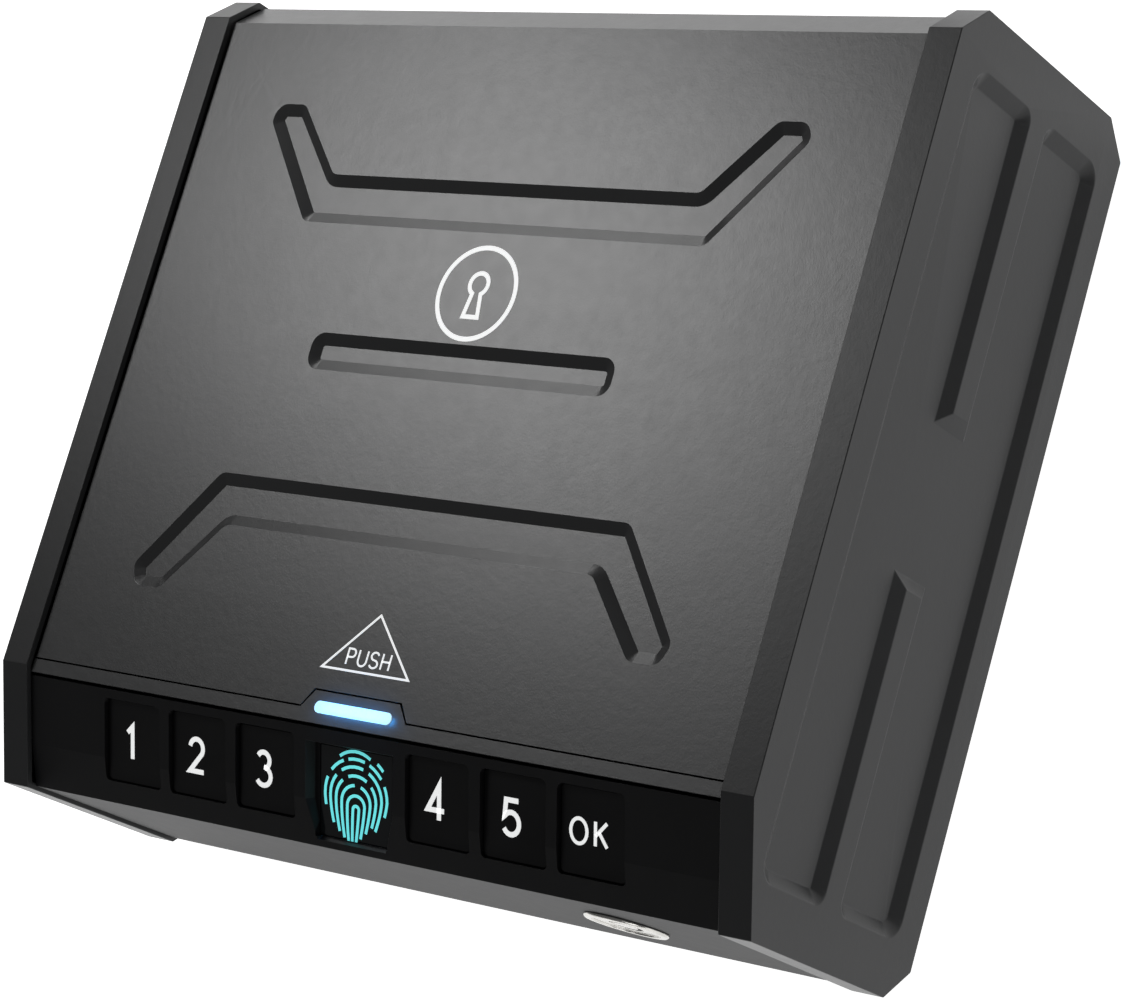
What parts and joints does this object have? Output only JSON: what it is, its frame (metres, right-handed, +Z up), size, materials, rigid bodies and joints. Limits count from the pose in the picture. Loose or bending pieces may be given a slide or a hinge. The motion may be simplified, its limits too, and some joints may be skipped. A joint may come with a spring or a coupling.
{
  "type": "slim pistol safe with keypad and fingerprint reader",
  "caption": "Slim steel pistol safe with a hinged grooved lid, pressed side cheeks, sloping keypad with fingerprint reader, and a round override key lock.",
  "frame": {"origin": "middle of the footprint on the surface that the feet stand on", "axes": "+X to the right as a person faces the keypad, +Y to the rear, +Z up"},
  "size_m": [0.27, 0.2466, 0.0919],
  "materials": {
    "coat": "fine matt powder coat, charcoal grey",
    "fascia_black": "satin black moulding",
    "key_black": "satin black key",
    "lamp": "lit diffuser",
    "chrome": "polished",
    "zinc": "zinc plated",
    "steel": "bare steel",
    "foam": "charcoal foam",
    "rubber": "moulded rubber",
    "scanner_glass": "gloss black window",
    "board": "solder mask",
    "chip": "moulded package",
    "cell": "sleeved cell",
    "holder_plastic": "moulded plastic"
  },
  "bodies": {
    "safe_body": {"batteries": "cell", "battery_contacts": "steel", "battery_holder": "holder_plastic", "board_chips": "chip", "buzzer": "chip", "case": "coat", "cheek_left": "coat", "cheek_right": "coat", "cheek_studs": "steel", "divider": "coat", "fascia": "fascia_black", "feet": "rubber", "floor_liner": "foam", "front_bezel": "coat", "hinge_leaf_case": "zinc", "hinge_pin": "steel", "hinge_springs": "zinc", "key_board": "board", "key_mat": "rubber", "lamp_board": "board", "lamp_lens": "lamp", "latch_shelf": "zinc", "lock_housing": "chrome", "lock_nut": "steel", "main_board": "board", "scanner_module": "chip", "scanner_window": "scanner_glass", "solenoid_body": "zinc"},
    "lid": {"lid_panel": "coat", "lid_pad": "foam", "lid_strikers": "zinc", "hinge_leaf_lid": "zinc"},
    "latch": {"latch_bar": "zinc", "solenoid_plunger": "zinc"},
    "lock_plug_body": {"lock_plug": "chrome", "lock_cam": "zinc", "cam_screw": "steel"},
    "battery_cover": {"battery_door": "fascia_black"},
    "key_1_button": {"key_1": "key_black"},
    "key_2_button": {"key_2": "key_black"},
    "key_3_button": {"key_3": "key_black"},
    "key_4_button": {"key_4": "key_black"},
    "key_5_button": {"key_5": "key_black"},
    "key_ok_button": {"key_ok": "key_black"}
  },
  "joints": [
    {"name": "lid_hinge", "type": "hinge", "parent": "safe_body", "child": "lid", "pos_m": [0, 0.1176, 0.0782], "axis": [-1, 0, 0], "range_deg": [0, 80]},
    {"name": "latch_slide", "type": "slide", "parent": "safe_body", "child": "latch", "axis": [1, 0, 0], "range_m": [0, 0.008]},
    {"name": "key_lock_turn", "type": "hinge", "parent": "safe_body", "child": "lock_plug_body", "pos_m": [0.074, -0.11, 0.0459], "axis": [0, 1, 0], "range_deg": [0, 90]},
    {"name": "battery_door_slide", "type": "slide", "parent": "safe_body", "child": "battery_cover", "axis": [0, 1, 0], "range_m": [0, 0.02]},
    {"name": "key_1_press", "type": "slide", "parent": "safe_body", "child": "key_1_button", "axis": [0, 0.4104, -0.9119], "range_m": [0, 0.001], "stiffness_N_per_m": 500},
    {"name": "key_2_press", "type": "slide", "parent": "safe_body", "child": "key_2_button", "axis": [0, 0.4104, -0.9119], "range_m": [0, 0.001], "stiffness_N_per_m": 500},
    {"name": "key_3_press", "type": "slide", "parent": "safe_body", "child": "key_3_button", "axis": [0, 0.4104, -0.9119], "range_m": [0, 0.001], "stiffness_N_per_m": 500},
    {"name": "key_4_press", "type": "slide", "parent": "safe_body", "child": "key_4_button", "axis": [0, 0.4104, -0.9119], "range_m": [0, 0.001], "stiffness_N_per_m": 500},
    {"name": "key_5_press", "type": "slide", "parent": "safe_body", "child": "key_5_button", "axis": [0, 0.4104, -0.9119], "range_m": [0, 0.001], "stiffness_N_per_m": 500},
    {"name": "key_ok_press", "type": "slide", "parent": "safe_body", "child": "key_ok_button", "axis": [0, 0.4104, -0.9119], "range_m": [0, 0.001], "stiffness_N_per_m": 500}
  ]
}
